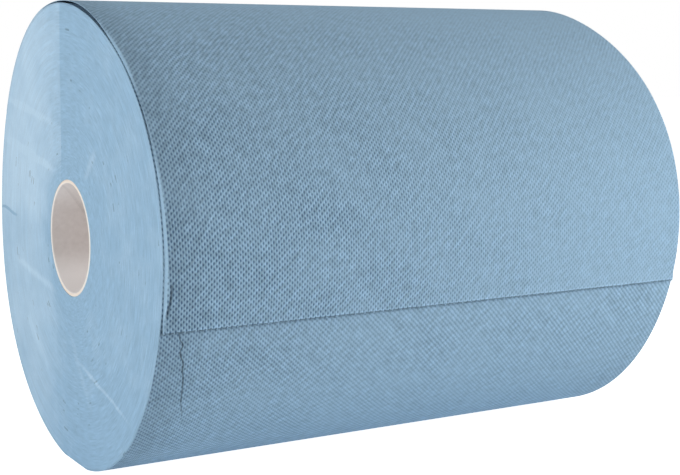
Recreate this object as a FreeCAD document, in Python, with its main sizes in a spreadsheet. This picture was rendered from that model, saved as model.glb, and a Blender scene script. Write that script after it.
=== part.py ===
import FreeCAD, Part
import math
import os

import Sketcher

# A wide roll of embossed wiping paper on a cardboard core, lying on its side, in millimetres.
# +X runs along the core, +Z is up, and the free end of the paper hangs down the front, which faces -Y.
# The origin is on the core's centre line, half way along the roll.
# An angle round the roll is 0 at the front and grows upwards, over the top and down the back.
# A place on the paper is given as degrees back from its free end, the way the paper is wound.

SIZES = (
    ("roll_width", 380, "length of the roll along the core"),
    ("roll_radius", 149, "mean radius of the winding"),
    ("core_bore", 70, "inside diameter of the core"),
    ("core_wall", 2.5, "wall of the core"),
    ("paper_thickness", 0.4, "embossed paper, where it lies loose"),
    ("two_bulge", 0.3, "oval out-of-roundness of the soft roll"),
    ("two_place", -34, "angle of its first high side"),
    ("three_bulge", 2.1, "three-sided out-of-roundness"),
    ("three_place", -2, "angle of its first high side"),
    ("four_bulge", 1.6, "four-sided out-of-roundness"),
    ("four_place", 28, "angle of its first high side"),
    ("rest_drop", 2.1, "how far above the mean radius the roll's weight presses it flat"),
    ("tail_drop", 14.3, "degrees below the front at which the paper ends"),
    ("loose_arc", 120, "degrees of the last turn that stand off the roll"),
    ("root_gap", 0.25, "gap where the loose paper leaves the roll"),
    ("tail_gap", 0.5, "further gap under the free end"),
    ("loose_lift", 1.0, "further gap at the top, where the loose paper bows out"),
    ("tail_setback", 1.0, "how far the loose paper's sides stay inside the roll's ends"),
    ("sheet_length", 350, "paper from one perforation to the next"),
    ("cut_length", 5.5, "one cut of a perforation"),
    ("bond_length", 1.0, "paper left between two cuts"),
    ("nib_length", 0.7, "torn bond that stands out of the free end"),
    ("slit_width", 0.35, "open width of a cut on the unbroken perforations"),
    ("slit_depth", 0.3, "depth of that cut"),
    ("turn_lines", 5, "turns of the line that shows the winding on each end"),
    ("line_width", 1.0, "width of that line"),
    ("line_depth", 0.6, "depth of that line"),
)

RIM_ARC = 15           # degrees that each arc of the roll's outline covers
LINE_ARC = 30          # the same on the winding line of an end
FIRST_TURN = 0.5       # how many pitches of the winding line lie between it and the rim, and the core
BOW_RISE = 4           # how close to its root the loose paper bows out: the higher, the closer
OVERCUT = 2.0          # how far a cutting tool reaches past the surface that it cuts


def make_sheet(doc):
    """The driving sizes, one to a row: its name, its value and what it is."""
    sheet = doc.addObject("Spreadsheet::Sheet", "Sizes")
    for row, (name, value, meaning) in enumerate(SIZES, start=1):
        sheet.set(f"A{row}", name)
        sheet.set(f"B{row}", str(value))
        sheet.setAlias(f"B{row}", name)
        sheet.set(f"C{row}", meaning)
    doc.recompute()
    return sheet


def bind(item, **formulas):
    """Ties properties of a feature to the sheet; a double underscore in a name stands for a full stop."""
    for name, formula in formulas.items():
        item.setExpression(name.replace("__", "."), formula)


def round_point(angle, radius):
    """The point at this angle and distance round the core's centre line."""
    turned = math.radians(angle)
    return FreeCAD.Vector(0, -radius * math.cos(turned), radius * math.sin(turned))


def arc_places(start, end, span):
    """Places from start to end for arcs that each cover up to span: the ends and the middle of each."""
    halves = 2 * math.ceil(abs(end - start) / span)
    return [start + (end - start) * i / halves for i in range(halves + 1)]


def arcs_through(points):
    """Arcs one after another, each through three of the points."""
    return [Part.Arc(*points[i:i + 3]).toShape() for i in range(0, len(points) - 2, 2)]


def band_face(outer, inner):
    """The face between two rows of arcs that run side by side."""
    edges = arcs_through(outer)
    edges.append(Part.makeLine(outer[-1], inner[-1]))
    edges += arcs_through(inner[::-1])
    edges.append(Part.makeLine(inner[0], outer[0]))
    return Part.Face(Part.Wire(edges))


class Winding:
    """Radii of the wound paper, worked out from the sheet."""

    def __init__(self, sheet):
        self.sheet = sheet
        self.core_radius = sheet.core_bore / 2 + sheet.core_wall

    def slumped(self, angle):
        """Radius of the soft roll at this angle, with its slow bulges."""
        sheet = self.sheet
        radius = sheet.roll_radius
        for lobes, bulge, place in (
            (2, sheet.two_bulge, sheet.two_place),
            (3, sheet.three_bulge, sheet.three_place),
            (4, sheet.four_bulge, sheet.four_place),
        ):
            radius += bulge * math.cos(math.radians(lobes * (angle - place)))
        return radius

    def angle(self, back):
        """Angle round the roll of a place on the paper."""
        return back - self.sheet.tail_drop

    def stand_off(self, back):
        """Gap between the last turn and the one below it."""
        sheet = self.sheet
        if back > sheet.loose_arc:
            left = (360 - back) / (360 - sheet.loose_arc)
            return sheet.root_gap * max(0.0, left)
        share = max(0.0, back / sheet.loose_arc)
        bow = math.sin(math.pi * share**BOW_RISE) ** 2
        return sheet.root_gap + sheet.tail_gap * (1 - share) + sheet.loose_lift * bow

    def outside(self, back):
        """Radius of the paper's outer surface, which falls by one thickness in each turn."""
        sheet = self.sheet
        spiral = sheet.paper_thickness * (1 - back / 360)
        return self.slumped(self.angle(back)) + spiral + self.stand_off(back)

    def outside_point(self, back, depth=0.0):
        """A point this deep under the paper's outer surface."""
        return round_point(self.angle(back), self.outside(back) - depth)

    def line_point(self, turns_in, offset):
        """A point beside the winding line on an end, which runs from the rim in to the core."""
        share = turns_in / (self.sheet.turn_lines + 2 * FIRST_TURN)
        angle = self.angle(turns_in * 360)
        rim = self.slumped(angle)
        return round_point(angle, self.core_radius + (rim - self.core_radius) * (1 - share) + offset)


def winding_section(winding):
    """Section of the wound roll without its loose end: one turn of a spiral and the step it leaves."""
    start = winding.sheet.loose_arc
    rim = [winding.outside_point(back) for back in arc_places(start, start + 360, RIM_ARC)]
    step = Part.makeLine(rim[-1], rim[0])
    return Part.Face(Part.Wire([*arcs_through(rim), step]))


def tail_section(winding):
    """Section of the loose paper, from the step of the roll to its torn end."""
    sheet = winding.sheet
    nib = math.degrees(sheet.nib_length / sheet.roll_radius)
    places = arc_places(-nib, sheet.loose_arc, RIM_ARC)
    outer = [winding.outside_point(back) for back in places]
    inner = [winding.outside_point(back, sheet.paper_thickness) for back in places]
    return band_face(outer, inner)


def line_section(winding):
    """The band that the winding line covers on an end: a spiral with the turns of the paper."""
    half = winding.sheet.line_width / 2
    turns = arc_places(FIRST_TURN, FIRST_TURN + winding.sheet.turn_lines, LINE_ARC / 360)
    outer = [winding.line_point(turn, half) for turn in turns]
    inner = [winding.line_point(turn, -half) for turn in turns]
    return band_face(outer, inner)


def cut_row(winding, back, length, depth, side):
    """A row of blocks across the roll, one for each cut of the perforation at this place.

    Each block is `length` long round the roll from `back` towards the free end, reaches `depth` under the
    surface, and the row stays `side` inside the roll's ends.
    """
    sheet = winding.sheet
    pitch = sheet.cut_length + sheet.bond_length
    room = sheet.roll_width - 2 * side
    count = math.floor(room / pitch)
    first = -(count * pitch - sheet.bond_length) / 2
    angle = winding.angle(back)
    radius = winding.outside(back)
    blocks = []
    for i in range(count):
        block = Part.makeBox(sheet.cut_length, depth + OVERCUT, length)
        block.translate(FreeCAD.Vector(first + i * pitch, -radius - OVERCUT, -length))
        block.rotate(FreeCAD.Vector(), FreeCAD.Vector(-1, 0, 0), angle)
        blocks.append(block)
    return blocks


def perforations(winding):
    """The cuts of the unbroken perforations that lie on the last turn, one sheet length apart."""
    sheet = winding.sheet
    cuts = []
    sheet_arc = math.degrees(sheet.sheet_length / sheet.roll_radius)
    for number in range(1, math.ceil(360 / sheet_arc)):
        cuts += cut_row(winding, number * sheet_arc, sheet.slit_width, sheet.slit_depth, 0.0)
    return Part.makeCompound(cuts)


def torn_edge(winding):
    """The gaps between the torn bonds, which leave the bonds standing out of the free end."""
    sheet = winding.sheet
    depth = sheet.paper_thickness + sheet.root_gap
    blocks = cut_row(winding, 0.0, sheet.nib_length + OVERCUT, depth, sheet.tail_setback)
    return Part.makeCompound(blocks)


def add_shape(doc, name, shape):
    """A feature that holds a shape worked out in code."""
    item = doc.addObject("Part::Feature", name)
    item.Shape = shape
    return item


def add_extrusion(doc, name, section, length, x=None):
    """A section drawn out along the roll: centred, or towards +X from a stated place."""
    item = doc.addObject("Part::Extrusion", name)
    item.Base = section
    item.DirMode = "Custom"
    item.Dir = FreeCAD.Vector(1, 0, 0)
    item.Solid = True
    item.Symmetric = x is None
    bind(item, LengthFwd=length)
    if x is not None:
        bind(item, Placement__Base__x=x)
    return item


def add_core_hole(doc):
    """The hole that the paper is wound round, as wide as the core outside."""
    item = doc.addObject("Part::Cylinder", "core_hole")
    item.Placement = FreeCAD.Placement(
        FreeCAD.Vector(), FreeCAD.Rotation(FreeCAD.Vector(0, 1, 0), 90)
    )
    bind(
        item,
        Radius="Sizes.core_bore / 2 + Sizes.core_wall",
        Height=f"Sizes.roll_width + {2 * OVERCUT}",
        Placement__Base__x=f"-Sizes.roll_width / 2 - {OVERCUT}",
    )
    return item


def add_rest_flat(doc):
    """The flat along the bottom, on which the roll lies."""
    item = doc.addObject("Part::Box", "rest_flat")
    bind(
        item,
        Length=f"Sizes.roll_width + {2 * OVERCUT}",
        Width="Sizes.roll_radius",
        Height="Sizes.roll_radius / 2",
        Placement__Base__x=f"-Sizes.roll_width / 2 - {OVERCUT}",
        Placement__Base__y="-Sizes.roll_radius / 2",
        Placement__Base__z="-Sizes.roll_radius * 1.5 + Sizes.rest_drop",
    )
    return item


def add_winding_lines(doc, winding):
    """The winding line on both ends of the roll."""
    section = add_shape(doc, "line_section", line_section(winding))
    depth = f"Sizes.line_depth + {OVERCUT}"
    left = add_extrusion(doc, "left_line", section, depth, f"-Sizes.roll_width / 2 - {OVERCUT}")
    right = add_extrusion(doc, "right_line", section, depth, "Sizes.roll_width / 2 - Sizes.line_depth")
    return [left, right]


def make_wound_paper(doc, sheet):
    """All the turns of paper as one body, with the loose end, its torn edge and the perforations."""
    winding = Winding(sheet)
    roll = add_extrusion(
        doc,
        "winding",
        add_shape(doc, "winding_section", winding_section(winding)),
        "Sizes.roll_width",
    )
    tail = add_extrusion(
        doc,
        "tail",
        add_shape(doc, "tail_section", tail_section(winding)),
        "Sizes.roll_width - 2 * Sizes.tail_setback",
    )
    torn_tail = doc.addObject("Part::Cut", "torn_tail")
    torn_tail.Base = tail
    torn_tail.Tool = add_shape(doc, "torn_edge", torn_edge(winding))

    log = doc.addObject("Part::MultiFuse", "wound_log")
    log.Shapes = [roll, torn_tail]

    tools = doc.addObject("Part::Compound", "cuts")
    tools.Links = [
        add_core_hole(doc),
        add_rest_flat(doc),
        add_shape(doc, "perforations", perforations(winding)),
        *add_winding_lines(doc, winding),
    ]
    paper = doc.addObject("Part::Cut", "wound_paper")
    paper.Base = log
    paper.Tool = tools
    return paper


def add_sketch(body, name, role):
    """A sketch on one of the body's own base planes."""
    plane = next(item for item in body.Origin.OriginFeatures if item.Role == role)
    sketch = body.newObject("Sketcher::SketchObject", name)
    sketch.AttachmentSupport = [(plane, "")]
    sketch.MapMode = "FlatFace"
    return sketch


def add_circle(sketch, name, radius, formula):
    """A circle about the core's centre line, with its radius tied to the sheet."""
    round_edge = Part.Circle(FreeCAD.Vector(), FreeCAD.Vector(0, 0, 1), radius)
    circle = sketch.addGeometry(round_edge)
    sketch.addConstraint(Sketcher.Constraint("Coincident", circle, 3, -1, 1))
    number = sketch.addConstraint(Sketcher.Constraint("Radius", circle, radius))
    sketch.renameConstraint(number, name)
    sketch.setExpression(f"Constraints.{name}", formula)


def make_core_tube(doc, sheet):
    """The cardboard core: a plain tube, sawn off flush with the paper."""
    body = doc.addObject("PartDesign::Body", "core_tube")
    ring = add_sketch(body, "ring", "YZ_Plane")
    bore = sheet.core_bore / 2
    add_circle(ring, "bore", bore, "Sizes.core_bore / 2")
    add_circle(ring, "outside", bore + sheet.core_wall, "Sizes.core_bore / 2 + Sizes.core_wall")
    pad = body.newObject("PartDesign::Pad", "tube_length")
    pad.Profile = ring
    pad.Midplane = True
    bind(pad, Length="Sizes.roll_width")
    body.Tip = pad
    return body


def check(doc, parts):
    """Stops if a feature failed, or if a piece isn't one sound solid."""
    for item in doc.Objects:
        if {"Invalid", "Error"} & set(item.State):
            raise RuntimeError(f"{item.Name} failed: {item.State}")
    for part in parts:
        shape = part.Shape
        if shape.isNull() or not shape.isValid() or len(shape.Solids) != 1:
            raise RuntimeError(f"{part.Label} isn't one sound solid")
        print(part.Label, "volume", round(shape.Volume), "faces", len(shape.Faces))


def main():
    doc = FreeCAD.newDocument("paper_roll")
    sheet = make_sheet(doc)
    parts = [make_wound_paper(doc, sheet), make_core_tube(doc, sheet)]
    for part, label in zip(parts, ("wound_paper", "core_tube")):
        part.Label = label
    doc.recompute()
    check(doc, parts)
    os.makedirs("parts", exist_ok=True)
    for part in parts:
        part.Shape.exportStep(f"parts/{part.Label}.step")


main()
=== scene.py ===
import math
from functools import partial

import bpy
import numpy as np
from mathutils import Matrix, Vector


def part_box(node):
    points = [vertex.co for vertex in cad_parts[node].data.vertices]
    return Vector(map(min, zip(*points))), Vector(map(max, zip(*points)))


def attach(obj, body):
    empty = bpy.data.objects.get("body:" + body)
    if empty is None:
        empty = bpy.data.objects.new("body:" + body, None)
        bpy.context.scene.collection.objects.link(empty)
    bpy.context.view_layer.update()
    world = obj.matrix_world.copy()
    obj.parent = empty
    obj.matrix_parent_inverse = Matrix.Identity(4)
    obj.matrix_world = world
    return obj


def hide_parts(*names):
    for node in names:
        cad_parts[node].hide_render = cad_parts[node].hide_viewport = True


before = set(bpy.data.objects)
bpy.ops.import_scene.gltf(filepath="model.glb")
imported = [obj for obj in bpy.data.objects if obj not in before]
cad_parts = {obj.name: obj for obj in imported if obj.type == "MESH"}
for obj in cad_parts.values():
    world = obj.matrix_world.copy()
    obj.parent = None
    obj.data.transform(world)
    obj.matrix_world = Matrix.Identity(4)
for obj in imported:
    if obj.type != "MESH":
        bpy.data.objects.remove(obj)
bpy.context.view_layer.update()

# A wide roll of embossed wiping paper on a cardboard core, lying on its side, in metres.
# +X runs along the core, +Z is up, and the free end of the paper hangs down the front, which faces -Y.
# A place on the paper is its distance `s` back from the free end along the winding, and `x` along the roll.

MM = 0.001
BODY = "root"

# Sizes of the winding, as in the part's source
ROLL_RADIUS = 149 * MM
# Slow bulges of the outline: how many go round the roll, how high they are, and the angle of one
BULGES = ((2, 0.3 * MM, -34), (3, 2.1 * MM, -2), (4, 1.6 * MM, 28))
PAPER_THICKNESS = 0.4 * MM
# Degrees from the front down to the free end, and degrees of the last turn that hang loose
TAIL_DROP = 14.3
LOOSE_ARC = 120
# Gap under the loose sheet: where it leaves the roll, added at its free end, and added where it bows
ROOT_GAP = 0.25 * MM
TAIL_GAP = 0.5 * MM
LOOSE_LIFT = 1.0 * MM
# How far back along the loose arc the bow is highest: more is further back
BOW_RISE = 4
# How far the loose sheet's sides lie inside the roll's ends
TAIL_SETBACK = 1.0 * MM
# Perforations: sheet length, cuts, and the bonds between them, which stand out where they are torn
SHEET_LENGTH = 350 * MM
CUT_ROWS = (SHEET_LENGTH, 2 * SHEET_LENGTH)
CUT_LENGTH = 5.5 * MM
BOND_LENGTH = 1.0 * MM
BOND_PITCH = CUT_LENGTH + BOND_LENGTH
CUT_COUNT = 58
CUT_START = (CUT_COUNT * BOND_PITCH - BOND_LENGTH) / 2
NIB_LENGTH = 0.6 * MM

HALF_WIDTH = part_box("wound_paper")[1].x
REST_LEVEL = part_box("wound_paper")[0].z
CORE_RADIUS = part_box("core_tube")[1].z
CORE_BORE = CORE_RADIUS - 2.5 * MM
# How far along the core its spirally wound strips advance in one turn
STRIP_LEAD = 160 * MM

# Steps from one pressed dot of the paper to the next: along the roll and along the web
DOT_STEPS = ((1.712 * MM, -1.618 * MM), (1.580 * MM, 1.723 * MM))
DOT_DEPTH = 0.22 * MM
# How far the ridges beside the dots lie off the middle, in steps
RIDGE_SHIFT = 0.14
# How far the torn edge flares out from the roll, and how far it wanders along the web
FREE_FLARE = 1.6 * MM
EDGE_WANDER = 1.6 * MM
# The web is made in pieces; the strip along the near side of the loose sheet has the finest mesh
SIDE_STRIP = 9 * MM
WEB_END = 480
# A limit that lies outside the whole web
BEYOND = 1.0


def slumped(angle):
    """Radius of the soft roll at this angle, with its slow bulges."""
    return ROLL_RADIUS + sum(
        bulge * math.cos(math.radians(lobes * (angle - place))) for lobes, bulge, place in BULGES
    )


def stand_off(back):
    """Gap between the last turn and the one below it, at these degrees back from the free end."""
    if back > LOOSE_ARC:
        return ROOT_GAP * max(0.0, (360 - back) / (360 - LOOSE_ARC))
    share = max(0.0, back / LOOSE_ARC)
    return ROOT_GAP + TAIL_GAP * (1 - share) + LOOSE_LIFT * math.sin(math.pi * share**BOW_RISE) ** 2


def outside(back):
    """Radius of the paper's outer surface, which falls by one thickness in each turn."""
    return slumped(back - TAIL_DROP) + PAPER_THICKNESS * (1 - back / 360) + stand_off(back)


def round_point(angle, radius, x=0.0):
    """The point at this angle and distance round the core's centre line, not below the floor."""
    turned = math.radians(angle)
    return Vector((x, -radius * math.cos(turned), max(REST_LEVEL, radius * math.sin(turned))))


WEB_BACKS = np.arange(0, WEB_END + 0.25, 0.5)
WEB_POINTS = [round_point(back - TAIL_DROP, outside(back)) for back in WEB_BACKS]
WEB_LENGTHS = np.concatenate(
    [[0], np.cumsum([(b - a).length for a, b in zip(WEB_POINTS, WEB_POINTS[1:])])]
)


def web_length(back):
    """Distance along the web from its free end to these degrees back."""
    return float(np.interp(back, WEB_BACKS, WEB_LENGTHS))


def srgb(code):
    """Linear colour of an sRGB hex value."""
    shares = [int(code[i:i + 2], 16) / 255 for i in (0, 2, 4)]
    linear = [c / 12.92 if c <= 0.04045 else ((c + 0.055) / 1.055) ** 2.4 for c in shares]
    return (*linear, 1.0)


# Nodes

# Settings of a Map Range node that starts and ends softly
SOFT = {"interpolation_type": "SMOOTHSTEP"}


def add_node(tree, kind, inputs=(), **settings):
    """Adds a node with its settings; inputs are values, sockets or nodes, in order or by name.

    A shader node's kind is given without its first words, as in "MapRange".
    """
    first_words = "" if kind.startswith(("Geometry", "Function", "NodeGroup")) else "ShaderNode"
    node = tree.nodes.new(first_words + kind)
    for name, value in settings.items():
        setattr(node, name, value)
    named = inputs.items() if isinstance(inputs, dict) else enumerate(inputs)
    for key, value in named:
        if isinstance(value, bpy.types.Node):
            value = value.outputs[0]
        if isinstance(value, bpy.types.NodeSocket):
            tree.links.new(value, node.inputs[key])
        else:
            node.inputs[key].default_value = value
    return node


def new_tree(name, inputs, result):
    """An empty Geometry Nodes tree, what adds nodes to it, and its inputs by name."""
    tree = bpy.data.node_groups.new(name, "GeometryNodeTree")
    for label, kind, value in inputs:
        socket = tree.interface.new_socket(label, in_out="INPUT", socket_type=kind)
        if value is not None:
            socket.default_value = value
    tree.interface.new_socket(result, in_out="OUTPUT", socket_type="NodeSocketGeometry")
    add = partial(add_node, tree)
    return tree, add, add("NodeGroupInput").outputs


def fresh_nodes(owner):
    """Empties the nodes of a material or a world and gives what adds nodes to it."""
    owner.use_nodes = True
    owner.node_tree.nodes.clear()
    return partial(add_node, owner.node_tree)


def shape_curve(node, points):
    """Gives a curve node these points, in rising order, from 0 to 1."""
    curve = node.mapping.curves[0]
    curve.points[0].location = points[0]
    curve.points[1].location = points[-1]
    for point in points[1:-1]:
        curve.points.new(*point)
    node.mapping.update()


# The web of paper, laid along the winding

# Each input of a tree: its name, its kind and its value before it is set
WEB_INPUTS = (
    ("Path", "NodeSocketGeometry", None),
    ("Columns", "NodeSocketInt", 3),
    ("Rows", "NodeSocketInt", 3),
    ("Divisions", "NodeSocketFloat", 2.0),
    ("Centre", "NodeSocketVector", None),
    ("From side", "NodeSocketFloat", 0.0),
    ("To side", "NodeSocketFloat", 0.0),
    ("From length", "NodeSocketFloat", 0.0),
    ("To length", "NodeSocketFloat", 0.0),
    ("Half width", "NodeSocketFloat", 0.0),
    ("Setback", "NodeSocketFloat", 0.0),
    ("Root length", "NodeSocketFloat", 0.0),
    ("Dot depth", "NodeSocketFloat", 0.0),
    ("Edge droop", "NodeSocketFloat", 0.0),
    ("Flare", "NodeSocketFloat", 0.0),
    ("Skirt", "NodeSocketFloat", 0.0),
    ("Material", "NodeSocketMaterial", None),
)

# From a place in dot steps to a place on the web, and back: each place is two sums with these shares
TO_WEB = tuple(zip(*DOT_STEPS))
(UX, VX), (US, VS) = TO_WEB
CELL_AREA = UX * VS - US * VX
TO_LATTICE = ((VS / CELL_AREA, -VX / CELL_AREA), (-US / CELL_AREA, UX / CELL_AREA))

# Creases in the web: degrees back from the free end, millimetres from the near end, and how sharp
CREASE_BELOW = (
    (332, 27.0, 0.0), (336, 24.5, 0.4), (340.5, 21.2, 0.8), (342.5, 20.4, 0.9), (344.3, 19.9, 1.0),
    (347.8, 18.6, 1.0), (349.8, 17.2, 1.0), (351.6, 17.0, 1.0), (353.5, 14.8, 1.0),
    (355.1, 13.9, 1.0), (356.3, 15.0, 1.0), (358, 12.6, 0.9), (362, 11.0, 0.8),
)
CORNER_FOLD = (
    (3.4, 2.9, 0.0), (4.6, 3.2, 0.9), (6.3, 3.9, 1.0), (8.1, 4.7, 1.0), (10.1, 4.7, 0.7), (12, 4.3, 0.0),
)
CREASE_REACH = 30 * MM
# How far the loose sheet's side edge bends down to the roll, in millimetres, by its share of the loose arc
EDGE_DROOP = (
    (0, 0.3), (0.035, 0.45), (0.06, 0.9), (0.1, 1.0), (0.18, 0.9), (0.28, 0.5), (0.42, 0.2),
    (0.55, 0.6), (0.66, 0.25), (0.75, 0.0), (1, 0.0),
)
# How far that edge stands off further near the top, in millimetres
EDGE_RISE = ((0, 0.0), (0.56, 0.0), (0.66, 0.45), (0.75, 0.8), (0.83, 0.35), (0.9, 0.0), (1, 0.0))


def two_sums(add, first, second, shares):
    """Two sums of the same two values, each with its own shares of them."""
    return [
        add("Math", (first, a, add("Math", (second, b), operation="MULTIPLY")), operation="MULTIPLY_ADD")
        for a, b in shares
    ]


def pressed_depth(add, u, v, first, second):
    """Depth of the pressed dots, 0 to 1, from the lattice place and the strength of both dot rows.

    Equal strengths give separate dots with ridges beside them, unequal ones rows that run together.
    """
    lesser = add("Math", (first, second), operation="MINIMUM")
    depth = add("Math", (first, second), operation="MAXIMUM")
    depth = add("Math", (lesser, 0.5, depth), operation="MULTIPLY_ADD")
    both = add("Math", (u, v), operation="ADD")
    both = add("Math", (both, RIDGE_SHIFT), operation="ADD")
    for phase, strength in ((u, first), (v, second), (both, lesser)):
        turned = add("Math", (phase, math.tau), operation="MULTIPLY")
        wave = add("Math", (turned,), operation="COSINE")
        depth = add("Math", (wave, strength, depth), operation="MULTIPLY_ADD")
    deepest = 4.5
    return add("Math", (depth, deepest), operation="DIVIDE")


def edge_waver(add, x):
    """Noise along the roll, 0 to 1, in waves of some 17 mm, that the torn free edge follows."""
    return add("TexNoise", {"Vector": add("CombineXYZ", (x,)), "Scale": 60.0, "Detail": 2.0})


def edge_place(add, waver):
    """Where along the web the torn edge lies."""
    off = add("Math", (waver, 0.5), operation="SUBTRACT")
    return add("Math", (off, EDGE_WANDER), operation="MULTIPLY")


def flat_sheet(add, given):
    """A grid on the dots' own lattice, laid flat in x and s and cut to this piece's share of the web."""
    sizes = []
    for name in ("Columns", "Rows"):
        steps = add("Math", (given[name], 1.0), operation="SUBTRACT")
        sizes.append(add("Math", (steps, given["Divisions"]), operation="DIVIDE"))
    grid = add("GeometryNodeMeshGrid", (*sizes, given["Columns"], given["Rows"]))
    place = add("VectorMath", (add("GeometryNodeInputPosition"), given["Centre"]), operation="ADD")
    x, s = two_sums(add, *add("SeparateXYZ", (place,)).outputs[:2], TO_WEB)
    s = add("Math", (s, edge_place(add, edge_waver(add, x))), operation="MAXIMUM")
    # The sides are set back, except where the sheet leaves the roll
    root = add("Math", (given["Root length"], 0.85), operation="MULTIPLY")
    setback = add("MapRange", (s, root, given["Root length"], given["Setback"], 0.0), **SOFT)
    half = add("Math", (given["Half width"], setback), operation="SUBTRACT")
    x = add("Math", (x, add("Math", (half, -1.0), operation="MULTIPLY")), operation="MAXIMUM")
    x = add("Math", (x, half), operation="MINIMUM")
    flat = add(
        "GeometryNodeSetPosition", {"Geometry": grid, "Position": add("CombineXYZ", (x, s))}
    )

    # Faces outside the piece go, judged by the middle of their half cell, and those left without area
    x, s = add("SeparateXYZ", (add("GeometryNodeInputPosition"),)).outputs[:2]
    middles = []
    for value in two_sums(add, x, s, TO_LATTICE):
        half_cells = add("Math", (value, 2.0), operation="MULTIPLY")
        half_cells = add("Math", (half_cells,), operation="FLOOR")
        middles.append(add("Math", (half_cells, 0.5, 0.25), operation="MULTIPLY_ADD"))
    x, s = two_sums(add, *middles, TO_WEB)
    unwanted = add("Math", (add("GeometryNodeInputMeshFaceArea"), 1e-9), operation="LESS_THAN")
    for value, limit, side in (
        (s, "From length", "LESS_THAN"),
        (s, "To length", "GREATER_THAN"),
        (x, "From side", "LESS_THAN"),
        (x, "To side", "GREATER_THAN"),
    ):
        past = add("Math", (value, given[limit]), operation=side)
        unwanted = add("Math", (unwanted, past), operation="MAXIMUM")
    return add("GeometryNodeDeleteGeometry", (flat, unwanted), domain="FACE")


def dot_rows(add, x, s):
    """How deep both rows of dots are pressed: less towards the far end and the top, in soft patches."""
    rows = []
    # Strength at the near and far end, at the front and top, and at the near and far end of the turn
    # below; then how far its patches are shifted
    for across, along, under, shift in (
        ((1.12, 0.56), (1.0, 0.95), (0.6, 0.12), 0.0),
        ((1.2, 0.5), (0.9, 0.2), (0.92, 0.7), 0.7),
    ):
        # Each fading goes from one place on the web to another, in metres, and from one factor to another
        above_edge = ((x, -0.16, 0.12, *across), (s, 0.05, 0.18, *along), (s, 0.19, 0.26, 1.0, 0.45))
        below_edge = ((x, -0.17, -0.05, *under), (s, 0.885, 0.915, 1.0, 1.27))
        strengths = []
        for fadings in (above_edge, below_edge):
            strength = 1.0
            for fading in fadings:
                strength = add("Math", (strength, add("MapRange", fading)), operation="MULTIPLY")
            strengths.append(strength)
        is_below = add("Math", (s, CUT_ROWS[1]), operation="GREATER_THAN")
        strength = add("Mix", {0: is_below, 2: strengths[0], 3: strengths[1]}, data_type="FLOAT")
        # Patches of some 35 mm, where the paper was pressed harder or softer
        place = add("GeometryNodeInputPosition")
        place = add("VectorMath", (place, (shift, shift, 0.0)), operation="ADD")
        patch = add("TexNoise", {"Vector": place, "Scale": 28.0, "Detail": 3.0})
        patch = add("MapRange", (patch, 0.3, 0.7, 0.78, 1.14))
        rows.append(add("Math", (strength, patch), operation="MULTIPLY"))
    return rows


def crease(add, from_side, s, points):
    """Signed distance from a crease and how sharp it is there, for its groove and for the finish."""
    lengths = [web_length(back) for back, *_ in points]
    start, end = lengths[0], lengths[-1]
    share = add("MapRange", (s, start, end))
    curves = []
    for heights in ([place * MM / CREASE_REACH for _, place, _ in points], [p[2] for p in points]):
        curve = add("FloatCurve", {"Value": share})
        shape_curve(curve, [((a - start) / (end - start), b) for a, b in zip(lengths, heights)])
        curves.append(curve)
    place = add("Math", (curves[0], CREASE_REACH), operation="MULTIPLY")
    off = add("Math", (from_side, place), operation="SUBTRACT")
    sharp = curves[1]
    for limit, side in ((start, "GREATER_THAN"), (end, "LESS_THAN")):
        inside = add("Math", (s, limit), operation=side)
        sharp = add("Math", (sharp, inside), operation="MULTIPLY")
    return off, sharp


def less_grooves(add, s, below, corner, lift):
    """The web's lift with grooves at the creases and the perforations."""
    to_rows = []
    for row in CUT_ROWS:
        to_row = add("Math", (s, row), operation="SUBTRACT")
        to_rows.append(add("Math", (to_row,), operation="ABSOLUTE"))
    to_row = add("Math", to_rows, operation="MINIMUM")
    # Distance, sharpness, half width and depth of each
    for off, sharp, half, depth in (
        (*below, 1.3 * MM, 0.25 * MM),
        (*corner, 0.9 * MM, 0.35 * MM),
        (to_row, 1.0, 1.6 * MM, 0.25 * MM),
    ):
        off = add("Math", (off,), operation="ABSOLUTE")
        groove = add("MapRange", (off, 0.0, half, 1.0, 0.0), **SOFT)
        groove = add("Math", (groove, sharp), operation="MULTIPLY")
        lift = add("Math", (groove, -depth, lift), operation="MULTIPLY_ADD")
    return lift


def side_moves(add, given, from_side, s):
    """How far the loose sheet's near side bends down to the roll, and how far it rises near the top."""
    share = add("Math", (s, given["Root length"]), operation="DIVIDE")
    from_edge = add("Math", (from_side, given["Setback"]), operation="SUBTRACT")
    moves = []
    for points, reach in ((EDGE_DROOP, 2.6 * MM), (EDGE_RISE, 14 * MM)):
        height = add("FloatCurve", {"Value": share})
        shape_curve(height, points)
        near = add("MapRange", (from_edge, 0.0, reach, 1.0, 0.0), **SOFT)
        moves.append(add("Math", (height, near), operation="MULTIPLY"))
    return moves


def thick_edges(add, given, wound):
    """Gives the loose sheet's own edges the thickness of the paper."""
    web, outward = (
        add("GeometryNodeInputNamedAttribute", {"Name": name}, data_type="FLOAT_VECTOR")
        for name in ("web", "outward")
    )
    x, s = add("SeparateXYZ", (web,)).outputs[:2]
    free = add("Math", (s, 1.2 * MM), operation="LESS_THAN")
    limit = add("Math", (given["Half width"], 1.5 * TAIL_SETBACK), operation="SUBTRACT")
    side = add("Math", (add("Math", (x,), operation="ABSOLUTE"), limit), operation="GREATER_THAN")
    rim = add("Math", (free, side), operation="MAXIMUM")
    # An edge with one face beside it is an outer edge
    lone = add("Math", (add("GeometryNodeInputMeshEdgeNeighbors"), 1.5), operation="LESS_THAN")
    thick = add("Math", (given["Skirt"], 0.0), operation="GREATER_THAN")
    for condition in (lone, thick):
        rim = add("Math", (rim, condition), operation="MULTIPLY")
    inward = add("Math", (given["Skirt"], -1.0), operation="MULTIPLY")
    return add(
        "GeometryNodeExtrudeMesh",
        {"Mesh": wound, "Selection": rim, "Offset": outward, "Offset Scale": inward},
        mode="EDGES",
    )


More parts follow.
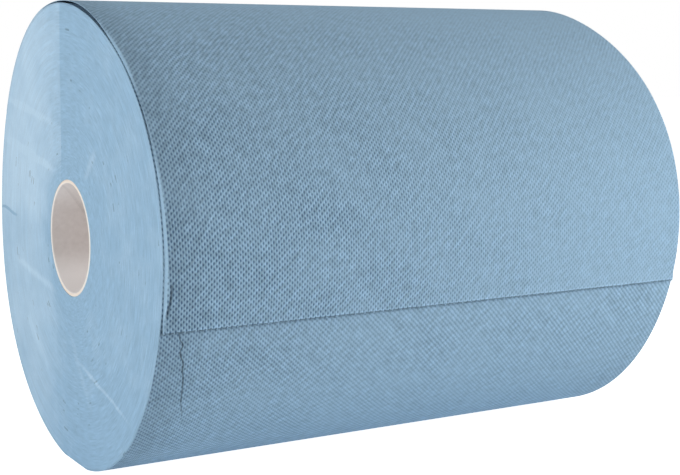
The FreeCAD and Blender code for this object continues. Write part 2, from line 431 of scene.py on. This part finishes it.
def embossed_web_tree():
    """Lays a sheet with pressed dots along the path: a grid on the dots' own lattice, cut to the sheet."""
    tree, add, given = new_tree("embossed_web", WEB_INPUTS, "Web")
    flat = flat_sheet(add, given)
    x, s = add("SeparateXYZ", (add("GeometryNodeInputPosition"),)).outputs[:2]
    u, v = two_sums(add, x, s, TO_LATTICE)
    rows = dot_rows(add, x, s)
    lift = add("Math", (pressed_depth(add, u, v, *rows), given["Dot depth"]), operation="MULTIPLY")
    lift = add("Math", (lift, -1.0), operation="MULTIPLY")

    from_side = add("Math", (x, given["Half width"]), operation="ADD")
    below = crease(add, from_side, s, CREASE_BELOW)
    corner = crease(add, from_side, s, CORNER_FOLD)
    lift = less_grooves(add, s, below, corner, lift)

    # The loose sheet's near side bends down to the roll, and stands off further near the top
    bend, rise = side_moves(add, given, from_side, s)
    move = add("Math", (rise, bend), operation="SUBTRACT")
    lift = add("Math", (move, given["Edge droop"], lift), operation="MULTIPLY_ADD")
    loose = add("Math", (given["Edge droop"], 0.0), operation="GREATER_THAN")
    bent = add("Math", (bend, loose), operation="MULTIPLY")

    # Its free end flares out a little
    flare = add("Math", (given["Flare"], edge_waver(add, x)), operation="MULTIPLY")
    flare = add("MapRange", (s, 0.0, 7 * MM, flare, 0.0), **SOFT)
    lift = add("Math", (lift, flare), operation="ADD")

    # Onto the winding
    along = add("GeometryNodeSampleCurve", {"Curves": given["Path"], "Length": s}, mode="LENGTH")
    outward = add(
        "VectorMath", ((1.0, 0.0, 0.0), along.outputs["Tangent"]), operation="CROSS_PRODUCT"
    )
    lifted = add("VectorMath", {0: outward, "Scale": lift}, operation="SCALE")
    place = add("VectorMath", (along.outputs["Position"], add("CombineXYZ", (x,))), operation="ADD")
    place = add("VectorMath", (place, lifted), operation="ADD")
    for name, value in (
        ("lattice", add("CombineXYZ", (u, v))),
        ("press", add("CombineXYZ", (*rows, bent))),
        ("web", add("CombineXYZ", (x, s))),
        ("crease_below", add("CombineXYZ", below)),
        ("corner_fold", add("CombineXYZ", corner)),
        ("outward", outward),
    ):
        flat = add(
            "GeometryNodeStoreNamedAttribute",
            {"Geometry": flat, "Name": name, "Value": value},
            data_type="FLOAT_VECTOR",
            domain="POINT",
        )
    wound = add("GeometryNodeSetPosition", {"Geometry": flat, "Position": place})
    real = add("GeometryNodeRealizeInstances", (thick_edges(add, given, wound),))
    coated = add("GeometryNodeSetMaterial", {"Geometry": real, "Material": given["Material"]})
    add("NodeGroupOutput", (coated,))
    return tree


BOND_INPUTS = (
    ("Count", "NodeSocketInt", 2),
    ("Pitch", "NodeSocketFloat", 0.0),
    ("Size", "NodeSocketVector", None),
    ("Edge place", "NodeSocketVector", None),
    ("Along", "NodeSocketVector", None),
    ("Outward", "NodeSocketVector", None),
    ("Tilt", "NodeSocketFloat", 0.0),
    ("Flare", "NodeSocketFloat", 0.0),
    ("Seed", "NodeSocketInt", 0),
    ("Material", "NodeSocketMaterial", None),
)


def torn_bonds_tree():
    """A row of small torn tabs along the free edge, none quite like the next."""
    tree, add, given = new_tree("torn_bonds", BOND_INPUTS, "Tabs")

    # Places along the edge, with the same waver as the sheet's
    half = add("Math", (given["Count"], 1.0), operation="SUBTRACT")
    half = add("Math", (half, -0.5), operation="MULTIPLY")
    start = add("Math", (half, given["Pitch"]), operation="MULTIPLY")
    line = add(
        "GeometryNodeMeshLine",
        {
            "Count": given["Count"],
            "Start Location": add("CombineXYZ", (start,)),
            "Offset": add("CombineXYZ", (given["Pitch"],)),
        },
    )
    waver = edge_waver(add, add("SeparateXYZ", (add("GeometryNodeInputPosition"),)))
    rise = add("Math", (waver, given["Flare"]), operation="MULTIPLY")
    rise = add("Math", (rise, PAPER_THICKNESS / 2), operation="SUBTRACT")
    offset = given["Edge place"]
    for direction, length in ((given["Along"], edge_place(add, waver)), (given["Outward"], rise)):
        move = add("VectorMath", {0: direction, "Scale": length}, operation="SCALE")
        offset = add("VectorMath", (offset, move), operation="ADD")
    line = add("GeometryNodeSetPosition", {"Geometry": line, "Offset": offset})

    scale = add(
        "FunctionNodeRandomValue",
        {0: (0.6, 0.5, 0.9), 1: (1.1, 1.5, 1.0), "Seed": given["Seed"]},
        data_type="FLOAT_VECTOR",
    )
    tabs = add(
        "GeometryNodeInstanceOnPoints",
        {
            "Points": line,
            "Instance": add("GeometryNodeMeshCube", {"Size": given["Size"]}),
            "Rotation": add("CombineXYZ", (given["Tilt"],)),
            "Scale": scale,
        },
    )
    real = add("GeometryNodeRealizeInstances", (tabs,))
    # The finish takes the tabs for part of the web, a little above its torn edge
    x = add("SeparateXYZ", (add("GeometryNodeInputPosition"),))
    web = add("CombineXYZ", (x, 5 * MM))
    real = add(
        "GeometryNodeStoreNamedAttribute",
        {"Geometry": real, "Name": "web", "Value": web},
        data_type="FLOAT_VECTOR",
        domain="POINT",
    )
    coated = add("GeometryNodeSetMaterial", {"Geometry": real, "Material": given["Material"]})
    add("NodeGroupOutput", (coated,))
    return tree


def bond_sizes(material):
    """Sizes for the torn bonds on the free edge."""
    along = (WEB_POINTS[1] - WEB_POINTS[0]).normalized()
    return {
        "Count": CUT_COUNT + 1,
        "Pitch": BOND_PITCH,
        "Size": (BOND_LENGTH, 2 * NIB_LENGTH, 0.8 * PAPER_THICKNESS),
        "Edge place": tuple(WEB_POINTS[0]),
        "Along": tuple(along),
        "Outward": (0.0, -along.z, along.y),
        "Tilt": math.atan2(along.z, along.y),
        "Flare": FREE_FLARE,
        "Seed": 3,
        "Material": material,
    }


def web_sizes(sides, backs, divisions, material):
    """Sizes for one piece of the web, between these sides and these degrees back.

    Only the piece that starts at the free end is loose: it is set back, bent, flared and given thickness.
    """
    loose = backs[0] == 0
    lengths = [web_length(back) for back in backs]
    from_side, to_side = (math.copysign(BEYOND, x) if abs(x) == HALF_WIDTH else x for x in sides)
    corners = [(x, s) for x in sides for s in lengths]
    places = [[a * x + b * s for x, s in corners] for a, b in TO_LATTICE]
    centre = [round((min(values) + max(values)) / 2) for values in places]
    # Steps by which the grid reaches past the piece
    margin = 2
    spans = [math.ceil((max(values) - min(values)) / 2 + margin) for values in places]
    return {
        "Columns": 2 * spans[0] * divisions + 1,
        "Rows": 2 * spans[1] * divisions + 1,
        "Divisions": float(divisions),
        "Centre": (*centre, 0.0),
        "From side": from_side,
        "To side": to_side,
        "From length": -BEYOND if loose else lengths[0],
        "To length": lengths[1],
        "Half width": HALF_WIDTH,
        "Setback": TAIL_SETBACK if loose else 0.0,
        "Root length": web_length(LOOSE_ARC),
        "Dot depth": DOT_DEPTH,
        "Edge droop": MM if loose else 0.0,
        "Flare": FREE_FLARE if loose else 0.0,
        "Skirt": PAPER_THICKNESS if loose else 0.0,
        "Material": material,
    }


def web_path():
    """The line that the web's outer surface follows round the roll."""
    curve = bpy.data.curves.new("web_path", "CURVE")
    curve.dimensions = "3D"
    line = curve.splines.new("POLY")
    line.points.add(len(WEB_POINTS) - 1)
    for point, place in zip(line.points, WEB_POINTS):
        point.co = (*place, 1.0)
    return curve


def new_object(name, data):
    """An object in the scene that shows this data."""
    item = bpy.data.objects.new(name, data)
    bpy.context.scene.collection.objects.link(item)
    return item


def plain_piece(name, source, tree, sizes):
    """The tree's result on the source as a plain mesh piece."""
    maker = new_object(name + "_maker", source)
    modifier = maker.modifiers.new("make", "NODES")
    modifier.node_group = tree
    for socket in tree.interface.items_tree:
        if socket.in_out == "INPUT" and socket.name in sizes:
            modifier[socket.identifier] = sizes[socket.name]
    bpy.context.view_layer.update()
    ready = maker.evaluated_get(bpy.context.evaluated_depsgraph_get())
    mesh = bpy.data.meshes.new_from_object(ready)
    bpy.data.objects.remove(maker)
    mesh.name = name
    return new_object(name, mesh)


# Materials

def fine_lines(add, x, s, below, corner):
    """How dark the tissue's thin lines of painted shade are, and how much paler the painted highlights on the
    lips beside them.
    """
    # Painted shade as thin dark lines in the creases, and a painted highlight as a paler lip beside the
    # corner's fold
    folds = [add("SeparateXYZ", (fold,)).outputs[:2] for fold in (below, corner)]
    lines = []
    for (off, sharp), half in zip(folds, (0.8 * MM, 1.3 * MM)):
        profile = add("MapRange", (add("Math", (off,), operation="ABSOLUTE"), 0.0, half, 1.0, 0.0))
        lines.append(add("Math", (profile, sharp), operation="MULTIPLY"))
    off, sharp = folds[1]
    beside = add("Math", (off, 1.2 * MM), operation="ADD")
    beside = add("Math", (beside,), operation="ABSOLUTE")
    raised = add("MapRange", (beside, 0.0, 0.8 * MM, 0.3, 0.0))
    raised = add("Math", (raised, sharp), operation="MULTIPLY")
    # The cuts of the perforations, painted as dark slits of shade
    along = add("Math", (x, CUT_START), operation="ADD")
    along = add("Math", (along, BOND_PITCH), operation="DIVIDE")
    along = add("Math", (along,), operation="FRACT")
    cut = add("Math", (along, CUT_LENGTH / BOND_PITCH), operation="LESS_THAN")
    for row in CUT_ROWS:
        to_row = add("Math", (s, row), operation="SUBTRACT")
        to_row = add("Math", (to_row,), operation="ABSOLUTE")
        near = add("Math", (to_row, 0.28 * MM), operation="LESS_THAN")
        lines.append(add("Math", (near, cut), operation="MULTIPLY"))
    # The torn edge: a thin dark fringe of painted shadow under a paler lip of painted highlight
    lines.append(add("MapRange", (s, 0.25 * MM, 0.7 * MM, 0.7, 0.0)))
    lip = add("MapRange", (s, 1.2 * MM, 2.0 * MM, 0.14, 0.0))
    raised = add("Math", (raised, lip), operation="ADD")
    # Painted shadow on the turn below, just under the free edge
    edge = web_length(360)
    painted_shadow_under_edge = add("MapRange", (s, edge - 2.4 * MM, edge - 0.6 * MM, 0.0, 0.35))
    above_edge = add("Math", (s, edge + 2 * MM), operation="LESS_THAN")
    lines.append(add("Math", (painted_shadow_under_edge, above_edge), operation="MULTIPLY"))
    dark = lines[0]
    for line in lines[1:]:
        dark = add("Math", (dark, line), operation="MAXIMUM")
    return dark, raised


def embossed_tissue():
    """Two-ply wiping tissue, dyed through and pressed between dotted steel rolls: matt, its pits darker,
    partly painted shade and partly the pressed plies.
    """
    material = bpy.data.materials.new("embossed_tissue")
    add = fresh_nodes(material)
    lattice, press, web, below, corner = (
        add("Attribute", attribute_name=name).outputs["Vector"]
        for name in ("lattice", "press", "web", "crease_below", "corner_fold")
    )
    u, v = add("SeparateXYZ", (lattice,)).outputs[:2]
    x, s = add("SeparateXYZ", (web,)).outputs[:2]
    first, second, bent = add("SeparateXYZ", (press,)).outputs

    # The dots, a little astray, and none where the side edge is bent smooth
    bent_smooth_with_painted_highlight = add("MapRange", (bent, 0.1, 0.45))
    rough = add("Math", (1.0, bent_smooth_with_painted_highlight), operation="SUBTRACT")
    first = add("Math", (first, rough), operation="MULTIPLY")
    second = add("Math", (second, rough), operation="MULTIPLY")
    firm = add("Math", (first, second), operation="MAXIMUM")
    stray = add("TexNoise", {"Vector": lattice, "Scale": 0.9, "Detail": 2.0})
    stray = add("Math", (stray, 0.5), operation="SUBTRACT")
    stray = add("Math", (stray, 0.4), operation="MULTIPLY")
    u = add("Math", (u, stray), operation="ADD")
    v = add("Math", (v, stray), operation="SUBTRACT")
    pit = pressed_depth(add, u, v, first, second)
    # Fibres, in tufts of 0.7 mm because single ones are too fine to show
    fibre = add("TexNoise", {"Vector": web, "Scale": 1400.0, "Detail": 3.0, "Roughness": 0.7})
    # Paper between the pits stands up in short ridges along the stripes, each a few steps long
    ridges = add("VectorMath", (lattice, (0.9, 0.32, 1.0)), operation="MULTIPLY")
    ridges = add("TexNoise", {"Vector": ridges, "Scale": 1.0, "Detail": 2.0})
    firm_ridges = add("Math", (ridges, firm), operation="MULTIPLY")

    dark, raised = fine_lines(add, x, s, below, corner)
    # Painted shade: the web is darker at the roll's near end, and on the front below the free edge
    painted_shade_near_end = add(
        "MapRange", (x, 2.5 * MM - HALF_WIDTH, 34 * MM - HALF_WIDTH, 0.84, 1.0), **SOFT
    )
    painted_shade_below_tail = add("MapRange", (s, 0.72, 0.8, 1.0, 0.965))

    height = add("Math", (pit, -1.0), operation="MULTIPLY")
    for value, share in ((fibre, 0.15), (firm_ridges, 0.7), (dark, -1.2)):
        height = add("Math", (value, share, height), operation="MULTIPLY_ADD")
    bump = add("Bump", {"Strength": 1.0, "Distance": 0.4 * MM, "Height": height})
    # The pits are darker: partly painted shade in the hollows, partly the plies pressed together there
    pit = add("MapRange", (pit, 0.1, 0.95))
    pit_colour_and_painted_shade = add("Mix", {0: pit, 6: srgb("A8CAE3"), 7: srgb("56789A")}, data_type="RGBA").outputs[2]
    streak = add("MapRange", (ridges, 0.3, 0.7, -0.16, 0.16))
    raised = add("Math", (raised, 1.0), operation="ADD")
    factor = add("MapRange", (fibre, 0.0, 1.0, 0.93, 1.07))
    for part in (
        add("Math", (streak, firm, 1.0), operation="MULTIPLY_ADD"),
        painted_shade_near_end,
        painted_shade_below_tail,
        # Painted shade in the thin lines; painted highlights on the bent side edge and on the lips
        add("Math", (dark, -0.65, 1.0), operation="MULTIPLY_ADD"),
        add("Math", (bent_smooth_with_painted_highlight, 0.42, raised), operation="MULTIPLY_ADD"),
    ):
        factor = add("Math", (factor, part), operation="MULTIPLY")
    tone = add("VectorMath", {0: pit_colour_and_painted_shade, "Scale": factor}, operation="SCALE")
    shader = add(
        "BsdfPrincipled",
        {"Base Color": tone, "Roughness": 0.95, "Specular IOR Level": 0.15, "Normal": bump},
    )
    add("OutputMaterial", (shader,))
    return material


# Streaks that the saw left on the ends: from (y, z) to (y, z), half width, and how much lighter
SAW_MARKS = tuple(
    ((y0 * MM, z0 * MM), (y1 * MM, z1 * MM), width * MM, strength)
    for y0, z0, y1, z1, width, strength in (
        (140, 59, 12, 40, 4, 0.6),
        (140, 88, 15, 70, 4, 0.35),
        (125, -25, 20, -40, 4, 0.4),
        (0, -76, -105, -101, 2.5, 0.6),
        (-55, 62, -22, 34, 5, 0.4),
        (152, 9, 106, 4, 1.6, -1.2),
        (10, -55, -40, -120, 6, 0.2),
        (100, -60, 40, -100, 6, 0.2),
    )
)


def turn_tones(add, turns, share):
    """Four tones that stay the same along each turn, for fine and coarse bands, dashes and fuzz.

    One turn is too fine to show, so these are bands a few turns wide.
    """
    # Number of bands, how fast each changes along the turn, and the range of its tone
    layers = []
    for count, scale, low, high in (
        (150, 22.0, 0.955, 1.04),
        (52, 5.0, 0.97, 1.025),
        (90, 31.0, 0.0, 1.0),
        (115, 55.0, -0.07, 0.07),
    ):
        spot = add("Math", (turns, float(count)), operation="MULTIPLY")
        spot = add("Math", (spot, share), operation="SUBTRACT")
        spot = add("Math", (spot,), operation="FLOOR")
        spot = add("Math", (spot, share), operation="ADD")
        noise = add("TexNoise", {"W": spot, "Scale": scale, "Detail": 1.0}, noise_dimensions="1D")
        layers.append(add("MapRange", (noise, 0.25, 0.75, low, high)))
    return layers


def add_saw_marks(add, place, marks):
    """Adds the saw's streaks to these marks, a little ragged along their sides."""
    y, z = add("SeparateXYZ", (place,)).outputs[1:]
    wobble = add("TexNoise", {"Vector": place, "Scale": 60.0, "Detail": 3.0})
    wobble = add("Math", (wobble, 0.5), operation="SUBTRACT")
    wobble = add("Math", (wobble, 5 * MM), operation="MULTIPLY")
    for (y0, z0), (y1, z1), width, strength in SAW_MARKS:
        reach = math.hypot(y1 - y0, z1 - z0)
        dy, dz = (y1 - y0) / reach, (z1 - z0) / reach
        ways = []
        for a, b in ((dy, dz), (dz, -dy)):
            way = add("Math", (z, b, -(y0 * a + z0 * b)), operation="MULTIPLY_ADD")
            ways.append(add("Math", (y, a, way), operation="MULTIPLY_ADD"))
        along, across = ways
        across = add("Math", (across, wobble), operation="ADD")
        across = add("Math", (across,), operation="ABSOLUTE")
        mark = add("MapRange", (across, 0.0, width, strength, 0.0), **SOFT)
        begin = add("MapRange", (along, 0.0, 0.3 * reach, 0.0, 1.0), **SOFT)
        end = add("MapRange", (along, 0.7 * reach, reach, 1.0, 0.0), **SOFT)
        mark = add("Math", (mark, begin), operation="MULTIPLY")
        marks = add("Math", (mark, end, marks), operation="MULTIPLY_ADD")
    return marks


def sawn_tissue():
    """The sawn edges of some 280 turns of tissue: matt and pale, with thin lines between turns."""
    material = bpy.data.materials.new("sawn_tissue_edges")
    add = fresh_nodes(material)
    turns = add("Attribute", attribute_name="turns").outputs["Fac"]
    place = add("TexCoord").outputs["Object"]
    x, y, z = add("SeparateXYZ", (place,)).outputs
    radius = add("VectorMath", (add("CombineXYZ", (y, z)),), operation="LENGTH").outputs["Value"]
    angle = add("Math", (z, add("Math", (y, -1.0), operation="MULTIPLY")), operation="ARCTAN2")
    share = add("Math", (angle, 1 / math.tau, 1.0), operation="MULTIPLY_ADD")
    share = add("Math", (share,), operation="FRACT")

    fine, coarse, dashes, fuzz = turn_tones(add, turns, share)
    # Painted sheen of the cut fibres: lighter at the back and in the quarter behind the top; lighter along
    # the streaks that the saw left
    painted_sheen_and_tone = 0.0
    for ranges in (
        (y, -10 * MM, 80 * MM, 0.0, 0.6),
        (y, -110 * MM, -40 * MM, 0.1, 0.0),
        (z, -110 * MM, -50 * MM, -0.1, 0.0),
        (radius, 40 * MM, 60 * MM, -0.34, 0.0),
    ):
        painted_sheen_and_tone = add("Math", (painted_sheen_and_tone, add("MapRange", ranges, **SOFT)), operation="ADD")
    # The painted sheen's quarter behind the top: a sharp step lighter, with a soft slope darker beside it
    level = add("Math", (z, 0.0367, -0.0033), operation="MULTIPLY_ADD")
    level = add("Math", (y, level), operation="ADD")
    step = add("MapRange", (level, 10 * MM, 12.5 * MM, 0.0, 0.38), **SOFT)
    slope = add("MapRange", (level, -45 * MM, 9 * MM, 0.0, -0.12), **SOFT)
    above = add("MapRange", (z, 0.0, 14 * MM, 0.0, 1.0), **SOFT)
    marks = add("Math", (step, slope), operation="ADD")
    marks = add("Math", (marks, above), operation="MULTIPLY")
    marks = add_saw_marks(add, place, marks)
    # The far end was cut more cleanly: fainter saw streaks, and a fainter painted sheen quarter
    clean = add("MapRange", (x, -HALF_WIDTH, HALF_WIDTH, 1.0, 0.45), **SOFT)
    painted_sheen_and_tone = add("Math", (marks, clean, painted_sheen_and_tone), operation="MULTIPLY_ADD")
    # Clouds of some 25 mm
    cloud = add("TexNoise", {"Vector": place, "Scale": 40.0, "Detail": 6.0, "Roughness": 0.65})
    painted_sheen_and_tone = add("Math", (painted_sheen_and_tone, cloud), operation="ADD")
    painted_sheen_and_tone = add("Math", (painted_sheen_and_tone, 0.5), operation="SUBTRACT")
    colour = add("Mix", {0: painted_sheen_and_tone, 6: srgb("99BBD5"), 7: srgb("BED9ED")}, data_type="RGBA").outputs[2]

    # Here and there a turn stands back from its neighbours; the shade in its gap is painted as a short dark
    # dash
    dash = add("MapRange", (dashes, 0.985, 1.0, 0.0, 0.35), **SOFT)
    there = add("MapRange", (cloud, 0.52, 0.62, 0.0, 1.0), **SOFT)
    painted_gap_shade = add("Math", (dash, there), operation="MULTIPLY")
    # The cut fibres stand up more on the front half; the outermost turns lie loose and get a painted shadow
    front = add("MapRange", (y, -20 * MM, 70 * MM, 1.0, 0.2), **SOFT)
    # Fibre ends, in tufts of 1.4 mm because single ones are too fine to show
    grain = add("TexNoise", {"Vector": place, "Scale": 700.0, "Detail": 3.0})
    factor = fine
    for part in (
        coarse,
        add("Math", (1.0, painted_gap_shade), operation="SUBTRACT"),
        add("Math", (fuzz, front, 1.0), operation="MULTIPLY_ADD"),
        # Painted shadow on the outermost, loose turns
        add("MapRange", (turns, 0.984, 1.0, 1.0, 0.86), **SOFT),
        add("Math", (grain, 0.12, 0.94), operation="MULTIPLY_ADD"),
    ):
        factor = add("Math", (factor, part), operation="MULTIPLY")
    tone = add("VectorMath", {0: colour, "Scale": factor}, operation="SCALE")
    height = add("Math", (fine, coarse), operation="ADD")
    height = add("Math", (grain, 0.5, height), operation="MULTIPLY_ADD")
    bump = add("Bump", {"Strength": 0.35, "Distance": 0.12 * MM, "Height": height})
    shader = add(
        "BsdfPrincipled",
        {"Base Color": tone, "Roughness": 0.95, "Specular IOR Level": 0.1, "Normal": bump},
    )
    add("OutputMaterial", (shader,))
    return material


def core_board():
    """Grey-brown core board, wound from strips and glued: smooth and matt, with a faint line at the joint."""
    material = bpy.data.materials.new("wound_core_board")
    add = fresh_nodes(material)
    place = add("TexCoord").outputs["Object"]
    x, y, z = add("SeparateXYZ", (place,)).outputs
    # Flecks of about 3 mm, as in board made from old paper
    fibre = add("TexNoise", {"Vector": place, "Scale": 300.0, "Detail": 4.0})
    board = add("Mix", {0: fibre, 6: srgb("CBC2BE"), 7: srgb("E0D9D6")}, data_type="RGBA").outputs[2]
    # Painted light in the bore: the board is paler low down, and a little paler high up
    low = add("MapRange", (z, -8 * MM, -30 * MM, 0.0, 0.9), **SOFT)
    high = add("MapRange", (z, 12 * MM, 32 * MM, 0.0, 0.45), **SOFT)
    painted_light_in_bore = add("Math", (low, high), operation="ADD")
    colour = add("Mix", {0: painted_light_in_bore, 6: board, 7: srgb("FBF6F4")}, data_type="RGBA").outputs[2]
    # The strips' glued joint winds along the bore
    turn = add("Math", (z, y), operation="ARCTAN2")
    turn = add("Math", (turn, 1 / math.tau), operation="MULTIPLY")
    turn = add("Math", (x, 1 / STRIP_LEAD, turn), operation="MULTIPLY_ADD")
    turn = add("Math", (turn,), operation="FRACT")
    joint = add("MapRange", (turn, 0.01, 0.018, 0.93, 1.0))
    tone = add("VectorMath", {0: colour, "Scale": joint}, operation="SCALE")
    shader = add(
        "BsdfPrincipled", {"Base Color": tone, "Roughness": 0.8, "Specular IOR Level": 0.25}
    )
    add("OutputMaterial", (shader,))
    return material


def sawn_board():
    """The sawn end of the core: a pale, slightly furry edge, browner at the top and bottom."""
    material = bpy.data.materials.new("sawn_core_board")
    add = fresh_nodes(material)
    place = add("TexCoord").outputs["Object"]
    # Fur in tufts of about 1 mm, coarser than the real fibres so that it shows
    fibre = add("TexNoise", {"Vector": place, "Scale": 900.0, "Detail": 3.0})
    board = add("Mix", {0: fibre, 6: srgb("EDE6DC"), 7: srgb("FFFCF7")}, data_type="RGBA").outputs[2]
    z = add("SeparateXYZ", (place,)).outputs[2]
    stain = add("Math", (z,), operation="ABSOLUTE")
    stain = add("MapRange", (stain, 0.7 * CORE_BORE, CORE_BORE, 0.0, 0.3))
    colour = add("Mix", {0: stain, 6: board, 7: srgb("F3CFAE")}, data_type="RGBA").outputs[2]
    shader = add(
        "BsdfPrincipled", {"Base Color": colour, "Roughness": 0.9, "Specular IOR Level": 0.15}
    )
    add("OutputMaterial", (shader,))
    return material


# The ends and the core, in mesh code

# The mesh of an end: rings from the core to the rim, and steps round each
END_RINGS = 110
END_STEPS = 200
# How far the sawn turns are sunk into the ends, on average
TURN_SUNK = 0.05 * MM
CORE_STEPS = 128
# How far the core's edges are rounded off, outside and at the bore
CORE_SOFT = 0.25 * MM
BORE_SOFT = 0.5 * MM


def smooth_piece(name, places, faces):
    """A smooth mesh piece from a list of points and faces."""
    mesh = bpy.data.meshes.new(name)
    mesh.from_pydata(places, [], faces)
    mesh.update()
    mesh.shade_smooth()
    return new_object(name, mesh)


def roll_end(name, x, material):
    """One end of the wound paper: rings from the core out to the rim, raised and sunk like sawn turns."""
    rng = np.random.default_rng(5)
    heights = rng.normal(0, 1, END_RINGS + 2)
    side = 1 if x > 0 else -1
    start = LOOSE_ARC - TAIL_DROP
    places, turns = [], []
    for ring in range(END_RINGS + 1):
        share = ring / END_RINGS
        for step in range(END_STEPS + 1):
            turn = step / END_STEPS
            angle = start + 360 * turn
            if ring == END_RINGS:
                radius = outside(angle + TAIL_DROP)
            else:
                radius = CORE_RADIUS + (slumped(angle) - CORE_RADIUS) * share
            sunk = 0.0
            if 0 < ring < END_RINGS:
                level = heights[ring] * (1 - turn) + heights[ring + 1] * turn
                sunk = TURN_SUNK * (1 + math.tanh(level))
            places.append(round_point(angle, radius, x - side * sunk))
            turns.append(share)
    width = END_STEPS + 1
    faces = []
    for ring in range(END_RINGS):
        for step in range(END_STEPS):
            a = ring * width + step
            quad = (a, a + width, a + width + 1, a + 1)
            faces.append(quad if side < 0 else quad[::-1])
    piece = smooth_piece(name, places, faces)
    attribute = piece.data.attributes.new("turns", "FLOAT", "POINT")
    attribute.data.foreach_set("value", turns)
    piece.data.materials.append(material)
    return piece


def core_piece(board, sawn):
    """The core: a tube with softened sawn ends."""
    profile = (
        (-HALF_WIDTH + BORE_SOFT, CORE_BORE),
        (-HALF_WIDTH, CORE_BORE + BORE_SOFT),
        (-HALF_WIDTH, CORE_RADIUS - CORE_SOFT),
        (-HALF_WIDTH + CORE_SOFT, CORE_RADIUS),
        (HALF_WIDTH - CORE_SOFT, CORE_RADIUS),
        (HALF_WIDTH, CORE_RADIUS - CORE_SOFT),
        (HALF_WIDTH, CORE_BORE + BORE_SOFT),
        (HALF_WIDTH - BORE_SOFT, CORE_BORE),
    )
    # Sides of the profile, each from the point of its number, that the saw cut
    sawn_sides = (1, 2, 4, 5)
    count = len(profile)
    places, faces = [], []
    for step in range(CORE_STEPS):
        angle = math.tau * step / CORE_STEPS
        places += [(x, -r * math.cos(angle), r * math.sin(angle)) for x, r in profile]
        here = step * count
        there = (step + 1) % CORE_STEPS * count
        for side in range(count):
            after = (side + 1) % count
            faces.append((here + side, there + side, there + after, here + after))
    piece = smooth_piece("core_tube_dressed", places, faces)
    piece.data.materials.append(board)
    piece.data.materials.append(sawn)
    for number, polygon in enumerate(piece.data.polygons):
        polygon.material_index = int(number % count in sawn_sides)
    return piece


def build_object():
    """All pieces of the roll."""
    tissue = embossed_tissue()
    sawn = sawn_tissue()
    tree = embossed_web_tree()
    path = web_path()
    every = (-HALF_WIDTH, HALF_WIDTH)
    strip_edge = -HALF_WIDTH + SIDE_STRIP
    pieces = []
    for name, sides, backs, divisions in (
        ("loose_sheet", (strip_edge, HALF_WIDTH), (0, 120), 2),
        ("loose_sheet_side", (-HALF_WIDTH, strip_edge), (0, 120), 6),
        ("last_turn_back", every, (120, 240), 2),
        ("last_turn_front", every, (240, 360), 2),
        ("turn_below", every, (360, 480), 1),
    ):
        piece = plain_piece(name, path, tree, web_sizes(sides, backs, divisions, tissue))
        piece.data.shade_smooth()
        pieces.append(piece)
    source = bpy.data.meshes.new("torn_bonds_source")
    bonds = plain_piece("torn_bonds", source, torn_bonds_tree(), bond_sizes(tissue))
    bonds.data.shade_flat()
    pieces += [
        bonds,
        roll_end("roll_end_near", -HALF_WIDTH, sawn),
        roll_end("roll_end_far", HALF_WIDTH, sawn),
    ]
    for piece in pieces:
        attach(piece, BODY)
        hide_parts("wound_paper")
    core = core_piece(core_board(), sawn_board())
    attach(core, BODY)
    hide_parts("core_tube")


# Floor, light and camera

WHITE = (1.0, 1.0, 1.0, 1.0)
FLOOR_REACH = 6.0
# Each lamp's place, what it points at, its size and its power in watts
LAMPS = (
    ("end_lamp", (-1.5, -0.12, 0.35), (-0.19, 0.0, 0.0), 0.8, 11.0),
    ("front_lamp", (0.1, -1.2, 0.45), (0.0, 0.0, 0.0), 0.3, 1.9),
    ("right_lamp", (0.9, -0.7, 0.3), (0.05, 0.0, 0.0), 0.3, 5.2),
    ("top_lamp", (0.0, 0.5, 1.2), (0.0, 0.0, 0.0), 0.5, 2.9),
)
# Where the camera stands, which way it looks, and its lens in millimetres
CAMERA_PLACE = (-0.48364, -0.84474, 0.11377)
CAMERA_AIM = (0.50022, 0.85638, -0.12805)
CAMERA_LENS = 73.36


def seen_directly(add):
    """1 for rays from the camera, also in a reflection or through glass, and 0 for light on the roll."""
    rays = add("LightPath").outputs
    seen = add("Math", (rays["Is Camera Ray"], rays["Is Glossy Ray"]), operation="MAXIMUM")
    return add("Math", (seen, rays["Is Transmission Ray"]), operation="MAXIMUM")


def pale_floor():
    """A floor that fades into the white behind it, whose own light on the roll is weak."""
    corners = [(x * FLOOR_REACH, y * FLOOR_REACH) for x, y in ((-1, -1), (1, -1), (1, 1), (-1, 1))]
    mesh = bpy.data.meshes.new("floor")
    mesh.from_pydata([(x, y, REST_LEVEL) for x, y in corners], [], [(0, 1, 2, 3)])
    material = bpy.data.materials.new("pale_floor")
    add = fresh_nodes(material)
    glow = add("Emission", (WHITE, add("MapRange", (seen_directly(add), 0.0, 1.0, 0.16, 1.0))))
    paint = add("BsdfDiffuse", ((0.9, 0.9, 0.9, 1.0),))
    add("OutputMaterial", (add("AddShader", (glow, paint)),))
    mesh.materials.append(material)
    return new_object("floor", mesh)


def studio():
    """A pale floor, soft lamps and the camera."""
    floor = pale_floor()

    world = bpy.data.worlds.new("studio")
    add = fresh_nodes(world)
    ambient = add("Background", (WHITE, 0.12))
    backdrop = add("Background", (WHITE, 1.0))
    add("OutputWorld", (add("MixShader", (seen_directly(add), ambient, backdrop)),))
    bpy.context.scene.world = world

    for name, place, target, size, power in LAMPS:
        lamp = bpy.data.lights.new(name, "AREA")
        lamp.shape = "SQUARE"
        lamp.size = size
        lamp.energy = power
        item = new_object(name, lamp)
        item.location = place
        aim = Vector(target) - Vector(place)
        item.rotation_euler = aim.to_track_quat("-Z", "Y").to_euler()

    camera = bpy.data.cameras.new("camera")
    camera.lens = CAMERA_LENS
    camera.sensor_width = 36
    camera.clip_start = 0.01
    item = new_object("camera", camera)
    forward = Vector(CAMERA_AIM).normalized()
    right = forward.cross((0.0, 0.0, 1.0)).normalized()
    up = right.cross(forward).normalized()
    turn = Matrix((right, up, -forward)).transposed().to_4x4()
    item.matrix_world = Matrix.Translation(CAMERA_PLACE) @ turn
    bpy.context.scene.camera = item
    bpy.context.scene.view_settings.view_transform = "Standard"


build_object()
studio()
bpy.context.view_layer.update()
